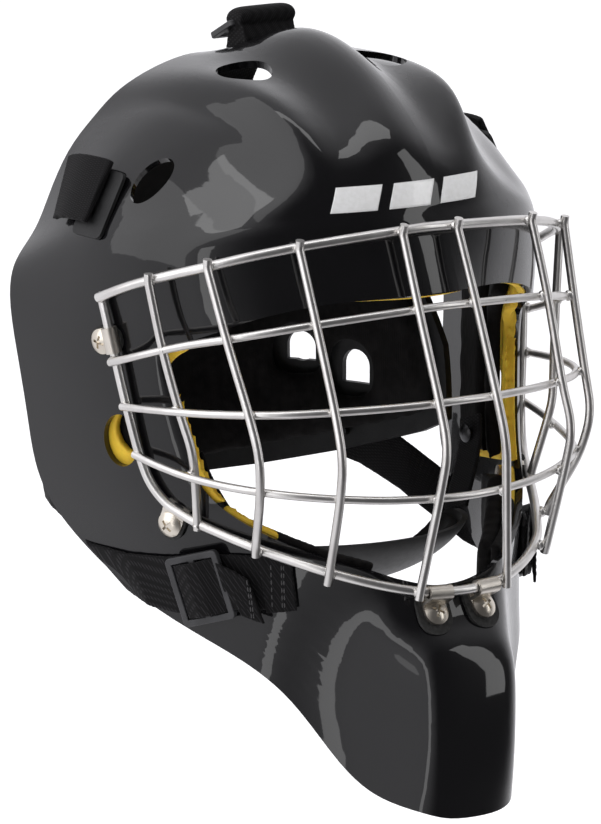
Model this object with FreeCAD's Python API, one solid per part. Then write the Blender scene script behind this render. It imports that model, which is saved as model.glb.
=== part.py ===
import FreeCAD, Part
import math
import os

from FreeCAD import Vector

# Goalie mask: a glossy shell, a steel wire cage, foam inside, a back plate and the straps between them.
# Millimetres. +Z is up, the face looks along -Y and +X is the wearer's left.
# The origin is the centre of the wearer's head. Places on the mask are easier to measure
# from the prow, the foremost point of the cage, so at(x, behind, above) turns
# "behind the prow" and "above the prow" into the part's own frame.

PROW_AHEAD = 143.0          # the prow lies this far in front of the head's centre
PROW_BELOW = 25.0           # and this far below it

SHELL_THICKNESS = 3.0
FRAME_WIRE = 4.2            # diameter of the cage's outer wires
CROSS_WIRE = 3.4            # diameter of the three inner horizontal wires
UPRIGHT_WIRE = 3.8          # diameter of the eight uprights


def at(x, behind, above):
    return Vector(x, behind - PROW_AHEAD, above - PROW_BELOW)


# ---------------------------------------------------------------- shell surface
# The shell is one smooth surface drawn by ribs. Every rib starts at the edge of the face
# opening and ends at the rear edge, and has ten control points. The ribs go round the face
# opening from the crest on top, down the wearer's left, to the middle of the chin, and the
# right side mirrors them. Upper ribs are listed point by point: brow band (points 1 to 3),
# the step above it (4), forehead or temple hollow (5), then the dome or wing (6 to 10).

UPPER_RIBS = [
    # crest of the dome
    [(0, 28, 59.5), (0, 33.5, 72), (0, 39, 88), (0, 44, 93), (0, 45.5, 105),
     (0, 50, 121), (0, 74, 143), (0, 106, 161.5), (0, 140, 163), (0, 166, 143)],
    # flank of the crest
    [(14, 30, 59), (14, 35.5, 72), (14, 40.5, 88), (14, 45, 93), (14, 46, 105),
     (12, 52, 120), (12, 77, 140), (12, 107, 157.5), (13, 140, 159.5), (13, 165.5, 145)],
    # valley beside the crest
    [(28, 35.5, 58.5), (28, 39.5, 72), (28, 43.5, 88), (28, 47, 92.5), (27, 48, 105),
     (24, 58, 118), (24, 79, 132.5), (25, 108, 143), (26, 138, 148), (27.5, 166, 147.5)],
    # shoulder of the dome
    [(42, 42, 57.5), (42, 44.5, 72), (42, 47, 87.5), (41, 50.5, 92), (38, 50, 104),
     (40, 60, 120), (44, 76, 139.5), (45.5, 104, 145.5), (44.5, 139, 146), (44, 167, 143.5)],
    # outer flank of the shoulder
    [(56, 50, 55), (56, 51.5, 71), (56, 53.5, 87), (54, 56.5, 91), (47, 55, 103),
     (44, 63, 117), (49.5, 81, 134.5), (52.5, 107, 141), (54.5, 140, 142), (57, 167.5, 138.5)],
    # crease at the foot of the dome
    [(67, 57, 52), (67, 58, 70), (67, 60, 86), (65, 63, 90), (54, 60, 100),
     (47, 65.5, 113), (51.5, 86, 125), (56, 114, 130.5), (62, 142, 133), (68, 169, 132)],
    # upper edge of the side wing
    [(75, 63.5, 49), (76, 64.5, 67), (76, 66.5, 85), (73, 69.5, 89), (62, 67, 97),
     (51.5, 70, 110.5), (57.5, 91, 123), (63.5, 118, 129.5), (71, 144.5, 130), (77, 170.5, 122.5)],
    # middle of the side wing
    [(82, 70, 45), (84, 71, 61), (84, 73, 82), (81, 76, 87), (73, 75.5, 94),
     (64, 80, 104), (72.5, 101, 114), (79.5, 122, 119.5), (84.5, 146.5, 119.5), (88, 173, 110.5)],
    # lower part of the side wing
    [(88, 78.5, 41.5), (91, 79, 56), (92, 81, 78), (90, 84, 84.5), (84, 84, 91),
     (81, 88, 99), (89, 106, 105), (95, 125, 107), (97, 149.5, 105), (96, 176, 91.5)],
    # hollow above the flare
    [(91.5, 88, 37.5), (95.5, 88, 50), (97.5, 90, 72), (98.5, 93, 80), (98, 96, 86),
     (98.5, 102, 88.5), (102, 115, 89), (104, 130, 87.5), (103.5, 152, 83), (100.5, 179.5, 74)],
    # flare
    [(92.5, 95, 32), (98, 96, 43), (101.5, 98, 60), (103.5, 101, 71), (105, 105, 77),
     (107, 112, 79), (109, 123, 78), (110.5, 139, 75), (112, 159, 70), (113.5, 179, 63)],
]
# The ribs between the flare and the chin are plain bends: their ends and the control point between.
SIDE_RIBS = [
    ((91.5, 94, 22), (107, 103, 44), (116, 178, 46)),
    ((89, 91, 8), (105, 100, 20), (113.5, 174.5, 22)),
    ((86, 87, -8), (102, 96, -6), (110.5, 171.5, -4)),
    ((83, 82, -24), (97, 88, -28), (107, 171, -32)),
    ((76, 69, -34), (90, 78, -48), (100, 152, -54)),
    ((65, 54, -42.5), (77, 70, -66), (88.5, 113, -79.5)),
    ((53, 40.5, -48.5), (66.5, 55.5, -72), (76, 66, -92.5)),
    ((42, 30, -53), (54, 48, -80), (58.5, 50.5, -109.5)),
    ((33, 23.5, -56), (44, 37, -88), (46, 36, -136.5)),
]
CHIN_RIBS = [
    # scoop beside the keel
    [(24, 19.5, -58.5), (27, 19, -64), (29.5, 19, -71), (31, 18, -79), (31, 17, -88),
     (31, 16, -98), (31.3, 16, -110), (31.8, 17, -123.5), (33, 19.5, -138.5), (35, 24, -152)],
    # edge of the keel
    [(16, 17, -61), (18, 16.5, -65.5), (20, 15, -71.5), (21.5, 11, -79), (22, 5, -87),
     (22, -1, -96.5), (22, -2, -109), (22, -2, -126), (22.5, -0.5, -142), (24, 3, -156)],
    # flat of the keel
    [(8, 16, -62.5), (9.5, 15.5, -66.5), (11, 14, -72), (13, 9, -79), (14.5, 2, -86),
     (15, -2.5, -95), (15, -4, -108), (15, -4, -126), (14.5, -3, -144), (14, -1, -159.5)],
    # middle of the chin
    [(0, 16, -63), (0, 15.5, -66.5), (0, 14, -72), (0, 9, -79), (0, 1.5, -86),
     (0, -3, -95), (0, -4.5, -108), (0, -4.5, -126), (0, -3.5, -144), (0, -1.5, -160)],
]
RIB_POINTS = 10


def bend(start, middle, end):
    """Ten control points along a plain bend from start to end, drawn towards middle."""
    points = []
    for step in range(RIB_POINTS):
        t = step / (RIB_POINTS - 1)
        points.append(tuple((1 - t) ** 2 * a + 2 * t * (1 - t) * b + t ** 2 * c
                            for a, b, c in zip(start, middle, end)))
    return points


def shell_net():
    """Control points of the whole shell: a ring of ribs, left half first, then its mirror image."""
    left = UPPER_RIBS + [bend(*rib) for rib in SIDE_RIBS] + CHIN_RIBS
    left = [[at(*point) for point in rib] for rib in left]
    right = [[Vector(-p.x, p.y, p.z) for p in rib] for rib in left[-2:0:-1]]
    return left + right


def offset_net(net, distance):
    """The same net moved by distance along the surface's outward normal."""
    count = len(net)
    moved = []
    for r, rib in enumerate(net):
        before = net[r - 1]
        after = net[(r + 1) % count]
        row = []
        for i, point in enumerate(rib):
            along = rib[min(i + 1, RIB_POINTS - 1)] - rib[max(i - 1, 0)]
            around = after[i] - before[i]
            row.append(point + around.cross(along).normalize() * distance)
        moved.append(row)
    return moved


def net_face(net):
    """A cubic surface on the net: closed round the face opening, open from front to rear."""
    surface = Part.BSplineSurface()
    around = list(range(len(net) + 1))
    along = list(range(RIB_POINTS - 2))
    surface.buildFromPolesMultsKnots(
        net, [1] * len(around), [4] + [1] * (len(along) - 2) + [4], around, along, True, False, 3, 3)
    return surface.toShape()


def rim_face(outer, inner, last):
    """The narrow face that joins the outer and inner surfaces at one of their two edges."""
    def edge(face):
        surface = face.Surface
        v = surface.bounds()[3] if last else surface.bounds()[2]
        return surface.vIso(v).toShape()
    return Part.makeRuledSurface(edge(outer), edge(inner))


SURFACE = net_face(shell_net()).Surface
CHIN_RIB = len(UPPER_RIBS) + len(SIDE_RIBS) + len(CHIN_RIBS) - 1


def outward(u, v):
    along_u, along_v = SURFACE.tangent(u, v)
    return along_u.cross(along_v).normalize()


def on_shell(rib, row, lift=0.0):
    """A place on the shell: rib 0 is the crest and CHIN_RIB the chin, negative ribs are the
    right side; row runs from 0 at the face opening to 7 at the rear edge; lift is outward."""
    u = (rib - 1) % (2 * CHIN_RIB)
    return SURFACE.value(u, row) + outward(u, row) * lift


def foot(point):
    """The nearest point of the shell's outer surface to point, and the outward normal there."""
    u, v = SURFACE.parameter(point)
    return SURFACE.value(u, v), outward(u, v)


def mirrored(shape):
    return shape.mirror(Vector(0, 0, 0), Vector(1, 0, 0))


def steps(first, last, count):
    return [first + (last - first) * i / (count - 1) for i in range(count)]


# ---------------------------------------------------------------- general builders
def bent_path(points):
    """Straight runs through the points, joined by arcs as large as the runs allow."""
    edges = []
    start = points[0]
    for before, corner, after in zip(points, points[1:], points[2:]):
        incoming = (corner - before).normalize()
        outgoing = (after - corner).normalize()
        turn = incoming.getAngle(outgoing)
        if turn < 0.01:
            continue
        reach = 0.45 * min((corner - before).Length, (after - corner).Length)
        radius = reach / math.tan(turn / 2)
        arc_start = corner - incoming * reach
        arc_end = corner + outgoing * reach
        inward = (outgoing - incoming).normalize()
        arc_middle = corner + inward * (radius / math.cos(turn / 2) - radius)
        edges.append(Part.LineSegment(start, arc_start).toShape())
        edges.append(Part.Arc(arc_start, arc_middle, arc_end).toShape())
        start = arc_end
    edges.append(Part.LineSegment(start, points[-1]).toShape())
    return Part.Wire(edges)


def rod(points, diameter):
    direction = points[1] - points[0]
    section = Part.Wire([Part.makeCircle(diameter / 2, points[0], direction)])
    return bent_path(points).makePipeShell([section], True, False)


def pad(ribs, rows, near, far, sections=13, points=10):
    """A solid layer that follows the shell between two lifts (negative is inside it)."""
    surfaces = []
    for lift in (near, far):
        surface = Part.BSplineSurface()
        surface.interpolate([[on_shell(rib, row, lift) for row in steps(rows[0], rows[1], points)]
                             for rib in steps(ribs[0], ribs[1], sections)])
        surfaces.append(surface)
    first_u, last_u, first_v, last_v = surfaces[0].bounds()
    faces = [surface.toShape() for surface in surfaces]
    for u in (first_u, last_u):
        faces.append(Part.makeRuledSurface(*[surface.uIso(u).toShape() for surface in surfaces]))
    for v in (first_v, last_v):
        faces.append(Part.makeRuledSurface(*[surface.vIso(v).toShape() for surface in surfaces]))
    return closed_solid(faces)


def closed_solid(faces):
    shell = Part.makeShell(faces)
    shell.sewShape()
    solid = Part.makeSolid(shell)
    if solid.Volume < 0:
        solid.reverse()
    return solid


def ribbon(centres, normals, width, thickness):
    """A flat strap along the centres of its underside, thick towards its normals."""
    wires = []
    for i, (centre, normal) in enumerate(zip(centres, normals)):
        ahead = centres[min(i + 1, len(centres) - 1)] - centres[max(i - 1, 0)]
        side = ahead.cross(normal).normalize() * (width / 2)
        up = normal.normalize() * thickness
        wires.append(Part.makePolygon([centre - side, centre + side, centre + side + up,
                                       centre - side + up, centre - side]))
    return Part.makeLoft(wires, True)


def placed(shape, origin, normal, ahead):
    """Move a shape drawn with Z up and Y ahead so that Z is the normal and Y points ahead."""
    z = Vector(normal).normalize()
    x = Vector(ahead).cross(z).normalize()
    y = z.cross(x)
    frame = FreeCAD.Matrix(x.x, y.x, z.x, origin.x,
                           x.y, y.y, z.y, origin.y,
                           x.z, y.z, z.z, origin.z,
                           0, 0, 0, 1)
    moved = shape.copy()
    moved.Placement = FreeCAD.Placement(frame)
    return moved


def rounded_plate(width, length, thickness, radius):
    """A plate centred on the origin in X and Y, standing on Z = 0, with round corners."""
    plate = Part.makeBox(width, length, thickness, Vector(-width / 2, -length / 2, 0))
    upright = [e for e in plate.Edges if abs(e.tangentAt(e.FirstParameter).z) > 0.9]
    return plate.makeFillet(radius, upright)


def group(shapes):
    return Part.makeCompound(shapes)


# ---------------------------------------------------------------- cage
# Half paths of the wires, from the middle to the wearer's left. The uprights lie outermost, the
# cross wires and top wire behind them, and the rim wire behind those.
TOP_WIRE = [(0, 35.3, 86.6), (14, 36.2, 86), (37, 39.7, 84.5), (59.5, 45.6, 82.3), (78, 55.2, 78.5),
            (91, 65.7, 74.3), (101.5, 80, 69.5), (107.5, 95, 64.5), (110.5, 106, 60), (111.5, 115.5, 56.2)]
UPPER_WIRE = [(0, 22.3, 55), (14.8, 23.3, 54.5), (37, 26.6, 53.4), (58.9, 33.4, 51.3), (76, 43, 48.3),
              (88.5, 55, 45), (97.5, 70, 41.5), (105, 86, 36.5), (108.6, 98, 32.6), (109.7, 109.5, 29.2)]
MIDDLE_WIRE = [(0, 7.3, 17.4), (14.7, 8.4, 17), (37, 13.2, 16.6), (57.6, 21.5, 16), (74, 31.5, 15.2),
               (85.5, 43.2, 14.6), (94.5, 58, 13.6), (100.5, 73, 12.8), (104.2, 89, 11.8), (106.3, 106, 10.6)]
LOWER_WIRE = [(0, 3.9, -22.9), (17.6, 5.2, -22.5), (38, 10.2, -21.8), (57.1, 19, -20.4), (72, 29.2, -19),
              (83, 41.5, -17.8), (90.5, 56, -16.8), (96.5, 73, -15), (100, 88, -12.6), (101.8, 103.5, -10)]
RIM_WIRE = [(109, 117, 57.5), (108, 114, 46), (106.3, 110.5, 31), (103.5, 107, 12), (99.8, 103.2, -8.7),
            (97.2, 99.2, -21.5), (93.2, 92.2, -30.5), (86.5, 79, -37.4), (74, 57, -45.2), (56, 31, -53),
            (38.5, 17.5, -58.6), (20, 9.5, -63), (0, 7.5, -64.2)]
UPRIGHTS = [
    [(14, 31.2, 89.5), (14.1, 32.3, 85.5), (14.8, 19.5, 54.5), (14.8, 4.5, 17.1), (15, -1.8, -0.5),
     (17.4, 1.2, -22.7), (22.3, 7.4, -61), (22.8, 8.1, -65.5)],
    [(60.2, 41.2, 86), (60, 42, 82.5), (59.8, 29.7, 51.5), (58.6, 17.9, 16.2), (59.4, 11.2, -2.3),
     (58, 15.2, -20.6), (56.5, 25.3, -54), (56.3, 26.8, -58)],
    [(92.6, 62, 78.4), (92.5, 62.5, 75), (90, 52, 45.3), (87, 40, 15.5), (86, 33.4, -2),
     (83, 37.5, -20), (76.3, 50.5, -43.8), (75.6, 51.5, -48)],
    [(107, 84.5, 70.5), (106.8, 84.8, 67), (102.3, 81.2, 37.8), (97.5, 76.1, 12.5), (94, 72, -3.5),
     (91.3, 73.5, -15), (87, 78, -36), (86.6, 78.5, -40)],
]


def both_sides(half):
    """The whole path of a wire from its half, which starts in the middle."""
    left = [at(*point) for point in half]
    right = [Vector(-p.x, p.y, p.z) for p in left[:0:-1]]
    return right + left


def make_uprights():
    bars = [rod([at(*point) for point in path], UPRIGHT_WIRE) for path in UPRIGHTS]
    return group(bars + [mirrored(bar) for bar in bars])


# ---------------------------------------------------------------- clips that hold the cage
CLIP_SHEET = 1.2
CLIP_WIDTH = 11.0
RUBBER = 1.6
SCREW_HEAD = 5.5            # radius
# Each clip: where its screw enters the shell and where it wraps the rim wire.
CHIN_CLIP = ((12.2, 12, -73.5), (12.2, 8.2, -63.7))
JAW_CLIP = ((88, 93, -38.5), (91.2, 94, -31.2))
TEMPLE_CLIP = ((105, 119, 37), (107.2, 112.4, 38.5))


def clip_frame(clip, wire_direction):
    """Screw foot, shell normal, and the in-plane direction and height of the wire from the foot."""
    base, normal = foot(at(*clip[0]))
    wire = at(*clip[1]) - base
    ahead = Vector(wire_direction).cross(normal).normalize()
    if ahead.dot(wire) < 0:
        ahead = -ahead
    return base, normal, ahead, ahead.dot(wire), normal.dot(wire)


def make_clip(clip, wire_direction):
    base, normal, ahead, reach, height = clip_frame(clip, wire_direction)
    floor = RUBBER + 0.2
    tab = Part.makeBox(CLIP_WIDTH, reach, CLIP_SHEET, Vector(-CLIP_WIDTH / 2, 0, floor))
    tab = tab.fuse(Part.makeCylinder(CLIP_WIDTH / 2, CLIP_SHEET, Vector(0, 0, floor)))
    outer = FRAME_WIRE / 2 + CLIP_SHEET + 0.05
    along = Vector(1, 0, 0)
    end = Vector(-CLIP_WIDTH / 2, reach, height)
    barrel = Part.makeCylinder(outer, CLIP_WIDTH, end, along)
    riser = Part.makeBox(CLIP_WIDTH, CLIP_SHEET, max(height - floor, 0.5),
                         Vector(-CLIP_WIDTH / 2, reach - outer, floor))
    body = tab.fuse(barrel).fuse(riser)
    body = body.cut(Part.makeCylinder(FRAME_WIRE / 2 + 0.05, CLIP_WIDTH + 2, end - along, along))
    body = body.cut(Part.makeCylinder(2.3, 20, Vector(0, 0, -10)))
    return placed(body.removeSplitter(), base, normal, ahead)


def make_screw(clip, wire_direction):
    """Truss-head screw with a cross recess; its shank goes through the clip and the shell."""
    base, normal, ahead, reach, height = clip_frame(clip, wire_direction)
    seat = RUBBER + 0.2 + CLIP_SHEET
    dome = Part.makeSphere(8.0, Vector(0, 0, seat + 2.7 - 8.0))
    head = dome.common(Part.makeCylinder(SCREW_HEAD, 6, Vector(0, 0, seat)))
    for angle in (0, 90):
        slot = Part.makeBox(5.6, 1.1, 3, Vector(-2.8, -0.55, seat + 1.1))
        slot.rotate(Vector(0, 0, 0), Vector(0, 0, 1), angle + 25)
        head = head.cut(slot)
    shank = Part.makeCylinder(2.0, seat + 8.5, Vector(0, 0, -8.5))
    return placed(head.fuse(shank).removeSplitter(), base, normal, ahead)


def make_nut(clip, wire_direction):
    """Flanged barrel nut inside the shell."""
    base, normal, ahead, reach, height = clip_frame(clip, wire_direction)
    flange = Part.makeCylinder(6.5, 1.2, Vector(0, 0, -SHELL_THICKNESS - 1.8))
    barrel = Part.makeCylinder(2.95, 5.0, Vector(0, 0, -SHELL_THICKNESS - 5.2))
    nut = flange.fuse(barrel).cut(Part.makeCylinder(2.05, 20, Vector(0, 0, -15)))
    return placed(nut.removeSplitter(), base, normal, ahead)


def make_rubber(clip, wire_direction):
    """Rubber pad between a clip and the shell."""
    base, normal, ahead, reach, height = clip_frame(clip, wire_direction)
    size = CLIP_WIDTH + (5 if clip is CHIN_CLIP else 1.5)
    rubber = rounded_plate(size, reach + size - 1, RUBBER, size / 2 - 0.1)
    rubber.translate(Vector(0, (reach - 1) / 2 - 1.5, 0.1))
    rubber = rubber.cut(Part.makeCylinder(2.3, 20, Vector(0, 0, -10)))
    return placed(rubber, base, normal, ahead)


ALONG_CHIN = Vector(1, 0.15, 0)
ALONG_JAW = Vector(0.5, 0.8, 0.45)
ALONG_TEMPLE = Vector(0.1, 0.2, 1)
CLIPS = [(CHIN_CLIP, ALONG_CHIN), (JAW_CLIP, ALONG_JAW), (TEMPLE_CLIP, ALONG_TEMPLE)]


def all_clips(maker, clips):
    left = [maker(*clip) for clip in clips]
    return left + [mirrored(piece) for piece in left]


# ---------------------------------------------------------------- shell with its holes
# Each vent: its middle, its radius across the mask and its radius along it.
VENTS = [
    (at(35, 118.5, 145), 11.2, 13.6),
    (at(90, 109, 106.5), 12.2, 7.0),
    (at(104, 114.5, -6.5), 11.5, 9.5),
]
SCREW_HOLE = 3.0


def vent(centre, across, along):
    """An oval cutter through the shell."""
    base, normal = foot(centre)
    ellipse = Part.Ellipse(Vector(0, 0, -12), max(across, along), min(across, along)).toShape()
    if along > across:
        ellipse.rotate(Vector(0, 0, 0), Vector(0, 0, 1), 90)
    oval = Part.Face(Part.Wire([ellipse]))
    return placed(oval.extrude(Vector(0, 0, 24)), base, normal, Vector(0, 1, 0.2))


def make_shell():
    outer = net_face(shell_net())
    inner = net_face(offset_net(shell_net(), -SHELL_THICKNESS))
    solid = closed_solid([outer, inner, rim_face(outer, inner, False), rim_face(outer, inner, True)])
    cutters = [vent(*hole) for hole in VENTS]
    for clip, direction in CLIPS:
        base, normal, ahead, reach, height = clip_frame(clip, direction)
        cutters.append(Part.makeCylinder(SCREW_HOLE, 16, base - normal * 8, normal))
    cutters += [mirrored(cutter) for cutter in cutters]
    return solid.cut(group(cutters))


# ---------------------------------------------------------------- foam
INNER = -SHELL_THICKNESS - 0.3          # lift of the outermost foam, a glue gap inside the shell
YELLOW = 4.0                            # thickness of the yellow impact foam
BLACK = 9.0                             # thickness of the black comfort foam
BEHIND_YELLOW = INNER - YELLOW - 0.4    # lift of the black foam that lies on the yellow
SIDE_BLACK = 8.0                        # the same beside the cheeks
THIN = 4.0                              # thickness of the foam in the crown and the chin
CHEEK_WINDOW = (104, 110, -3)           # a round window in the yellow foam, near the cheek vent
# Each foam piece: ribs it spans, rows it spans, and the lifts of its two faces.
CENTRE_FOAM = {
    "brow_foam": ((-7.8, 7.8), (0.0, 1.5), INNER, INNER - YELLOW),
    "sweatband": ((-7.4, 7.4), (0.05, 1.4), BEHIND_YELLOW - 1.0, BEHIND_YELLOW - BLACK),
    "crown_pad": ((-3.0, 3.0), (4.6, 6.0), INNER - 0.6, INNER - THIN),
    "chin_pad": ((20.2, 25.8), (0.15, 1.3), INNER, INNER - THIN),
}
SIDE_FOAM = {
    "side_foam": ((8.8, 14.4), (-0.12, 5.5), INNER, INNER - YELLOW),
    "side_pad": ((9.0, 14.3), (0.0, 1.7), BEHIND_YELLOW, BEHIND_YELLOW - SIDE_BLACK),
    "rear_pad": ((9.0, 14.3), (2.6, 5.4), BEHIND_YELLOW, BEHIND_YELLOW - SIDE_BLACK),
    "jaw_foam": ((14.7, 18.8), (-0.1, 3.2), INNER, INNER - YELLOW),
    "jaw_pad": ((14.7, 18.3), (0.04, 3.6), BEHIND_YELLOW, BEHIND_YELLOW - SIDE_BLACK),
}

# ---------------------------------------------------------------- straps and buckles
STRAP_WIDTH = 25.0
STRAP = 1.8                             # thickness of the elastic
CLEAR = 0.4                             # gap between a strap and what it lies on
PLASTIC = 2.6                           # thickness of the plastic buckles

# The jaw strap: sewn down at the front, over the jaw, round the shell's lower rim, to the back plate.
# Its upper and lower edges are given point by point, first on the shell, then inside it.
UPPER_EDGE = [(59.5, 48, -50.5), (69, 60, -49.5), (77, 72, -50), (84, 86, -52), (88.5, 99, -54.5),
              (93.5, 120, -56)]
LOWER_EDGE = [(57, 47, -71), (66, 58, -73), (73, 69, -75), (79.5, 83, -77.5), (84, 97, -79),
              (87.5, 111, -78.5)]
UPPER_EDGE_INSIDE = [(98.5, 143, -54.5), (94.5, 157, -46), (90.5, 168, -40)]
LOWER_EDGE_INSIDE = [(87, 128, -74), (85, 148, -66), (83.5, 165, -60)]
UPPER_EDGE_REAR = [(89.2, 172, -38), (86.5, 186, -32), (84.4, 198, -28.5), (81.5, 207, -26)]
LOWER_EDGE_REAR = [(83, 169.5, -58), (81.8, 184, -54), (80.4, 197, -50.5), (77.5, 206, -48.5)]
TAIL_UPPER = [(69.7, 61.8, -58.6), (73.2, 66.6, -55.3), (76.3, 71.5, -52.8)]
TAIL_LOWER = [(65.6, 56, -77.8), (68.2, 60.2, -76.6), (70.8, 64.5, -75.2)]
TAIL_LIFT = 1.9                         # the strap's free end stands this much above the buckle's foot
BUCKLE_POINT = (83.5, 80, -65.5)
BUCKLE_SLIDE = Vector(0.19, 0.95, -0.25).normalize()
BUCKLE_SIZE = (30.5, 27.0, 3.0)         # across the strap, along it, and the width of its bars
BUCKLE_LIFT = 1.4                       # the buckle stands off the strap by this much more
PATCH_UPPER = [(59.5, 48, -49.5), (64, 54, -49), (68, 59.5, -48.5)]
PATCH_LOWER = [(57, 47, -72), (61, 52, -73), (65, 57, -74)]
PATCH_THICKNESS = 0.9

# The upper strap comes out of its slot and lies folded on the side of the dome.
UPPER_FOLD = [(94, 128.5, 94), (94, 136, 94.5), (94, 144, 94.5), (93.5, 151, 94), (93, 157, 92.5)]
UPPER_FOLD_LIFTS = [3.0, 3.4, 3.4, 2.8, 2.2]
UPPER_FOLD_THICKNESS = 2.8
UPPER_FOLD_WIDTH = 28.5
UPPER_ANCHOR = (97, 130, 91)
UPPER_INSIDE = [(84, 150, 88), (80.5, 160, 84.5), (77, 169, 82)]
UPPER_REAR = [(75.5, 173, 80.5), (70.5, 186, 76.5), (66.5, 197, 73)]
UPPER_NORMALS = [Vector(1, 0.35, 0.45)] * 3

# The crown strap folds forward over the crest and back through its tri-glide.
CROWN_WIDTH = 26.0
CROWN_TOP = [(171, 146), (171, 153), (163, 162), (153, 166.8), (147, 166.5), (143.5, 162)]
CROWN_ROWS = (6.68, 6.78, 6.88, 7.0)
CROWN_BUCKLE = (0, 163, 154.5)
CROWN_REAR = [(0, 172.5, 140), (0, 178.5, 133), (0, 183.5, 122)]
CROWN_HEM = (172.6, 141.2)              # where the back plate hinges: behind and above the prow
CROWN_HEM_RADIUS = 1.7
CROWN_NORMALS = [Vector(0, 0.7, 0.7), Vector(0, 0.85, 0.5), Vector(0, 0.93, 0.36)]


def band(lines, thickness):
    """A strap whose underside passes through the lines, from its upper edge to its lower one."""
    wires = []
    last = len(lines[0]) - 1
    for i in range(last + 1):
        ahead = lines[1][min(i + 1, last)] - lines[1][max(i - 1, 0)]
        up = (lines[0][i] - lines[-1][i]).cross(ahead).normalize() * (-thickness)
        across = (lines[0][i] - lines[-1][i]).cross(up).normalize()
        under = [line[i] - across * (line[i] - lines[0][i]).dot(across) for line in lines]
        wires.append(Part.makePolygon(under + [point + up for point in under[::-1]] + under[:1]))
    return Part.makeLoft(wires, True, True)


def halfway(first, second):
    return [(one + other) * 0.5 for one, other in zip(first, second)]


def laid_band(upper, lower, lift, thickness, upper_free=(), lower_free=()):
    """A band that lies on the shell between its edges, and then leaves it for the free stretch."""
    edges = [[at(*point) for point in edge] for edge in (upper, lower)]
    lines = []
    for line in (edges[0], halfway(*edges), edges[1]):
        feet = [foot(point) for point in line]
        lines.append([base + normal * lift for base, normal in feet])
    free = [[at(*point) for point in edge] for edge in (upper_free, lower_free)]
    for line, more in zip(lines, (free[0], halfway(*free), free[1])):
        line += more
    return band(lines, thickness)


def strap_on_shell(points, lifts):
    """Centres and normals of a strap laid over the shell along the given points."""
    feet = [foot(at(*point)) for point in points]
    centres = [base + normal * lift for (base, normal), lift in zip(feet, lifts)]
    return centres, [normal for base, normal in feet]


def jaw_strap():
    """The elastic from its sewn end over the jaw and round under the rim of the shell."""
    return laid_band(UPPER_EDGE, LOWER_EDGE, CLEAR, STRAP, UPPER_EDGE_INSIDE, LOWER_EDGE_INSIDE)


def jaw_strap_rear():
    """The rear stretch of the jaw strap, which lies on the back plate."""
    edges = [[at(*point) for point in edge] for edge in (UPPER_EDGE_REAR, LOWER_EDGE_REAR)]
    return band([edges[0], halfway(*edges), edges[1]], STRAP)


def free_strap(points, normals, width=STRAP_WIDTH):
    return ribbon([at(*point) for point in points], normals, width, STRAP)


def buckle_frame(width, length, bar, thickness):
    """Tri-glide: a rectangular frame with a middle bar across it, drawn flat on Z = 0."""
    frame = rounded_plate(width, length, thickness, 2.5)
    slot_length = (length - 3 * bar) / 2
    slot_width = width - 2 * bar
    for side in (-1, 1):
        middle = side * (slot_length + bar) / 2
        corner = Vector(-slot_width / 2, middle - slot_length / 2, -thickness)
        frame = frame.cut(Part.makeBox(slot_width, slot_length, thickness * 3, corner))
    long_edges = [e for e in frame.Edges if e.Length > 8]
    return frame.makeFillet(0.5, long_edges)


def on_buckle(shape):
    """Put a shape drawn about the buckle's middle in its place above the jaw strap."""
    base, normal = foot(at(*BUCKLE_POINT))
    return placed(shape, base + normal * (2 * CLEAR + STRAP + BUCKLE_LIFT), normal, BUCKLE_SLIDE)


def strap_loop():
    """The elastic where it comes up through the buckle, over its middle bar and down again."""
    low = 0.5
    over = PLASTIC + 0.4
    ends = BUCKLE_SIZE[1] / 2 - BUCKLE_SIZE[2] - 0.4
    top = BUCKLE_SIZE[2] / 2 + 1.2
    profile = [(-ends, low), (-ends, low + STRAP), (-top, over + STRAP), (top, over + STRAP),
               (ends, low + STRAP), (ends, low), (top, over), (-top, over)]
    width = BUCKLE_SIZE[0] - 2 * BUCKLE_SIZE[2] - 0.6
    points = [Vector(-width / 2, y, z) for y, z in profile]
    return Part.Face(Part.makePolygon(points + points[:1])).extrude(Vector(width, 0, 0))


def strap_tail():
    """The free end of the jaw strap, in front of the buckle and above the sewn layer."""
    lift = 2 * CLEAR + STRAP + BUCKLE_LIFT + TAIL_LIFT
    return laid_band(TAIL_UPPER, TAIL_LOWER, lift, STRAP - 0.4)


def jaw_patch():
    """The stitched patch that holds the front end of the jaw strap."""
    return laid_band(PATCH_UPPER, PATCH_LOWER, CLEAR + STRAP + 0.3, PATCH_THICKNESS)


def upper_fold():
    centres, normals = strap_on_shell(UPPER_FOLD, UPPER_FOLD_LIFTS)
    return ribbon(centres, normals, UPPER_FOLD_WIDTH, UPPER_FOLD_THICKNESS)


def upper_anchor():
    """The moulded base that lines the slot the upper strap comes out of."""
    base, normal = foot(at(*UPPER_ANCHOR))
    plate = rounded_plate(30, 20, 1.6, 3)
    return placed(plate.translated(Vector(0, 0, 2 * CLEAR)), base, normal, Vector(0, 1, 0))


def crown_fold():
    """The crown strap's fold seen from the side, drawn out across the crest, and slit for its buckle."""
    bottom = [on_shell(0, row, 2 * CLEAR) for row in CROWN_ROWS]
    outline = [at(0, *point) for point in CROWN_TOP] + bottom
    outline = [point - Vector(CROWN_WIDTH / 2, 0, 0) for point in outline]
    fold = Part.Face(Part.makePolygon(outline + outline[:1])).extrude(Vector(CROWN_WIDTH, 0, 0))
    slit = Part.makeBox(60, 60, PLASTIC + 0.6, Vector(-30, -30, -0.3))
    return fold.cut(on_crest(slit))


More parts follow.
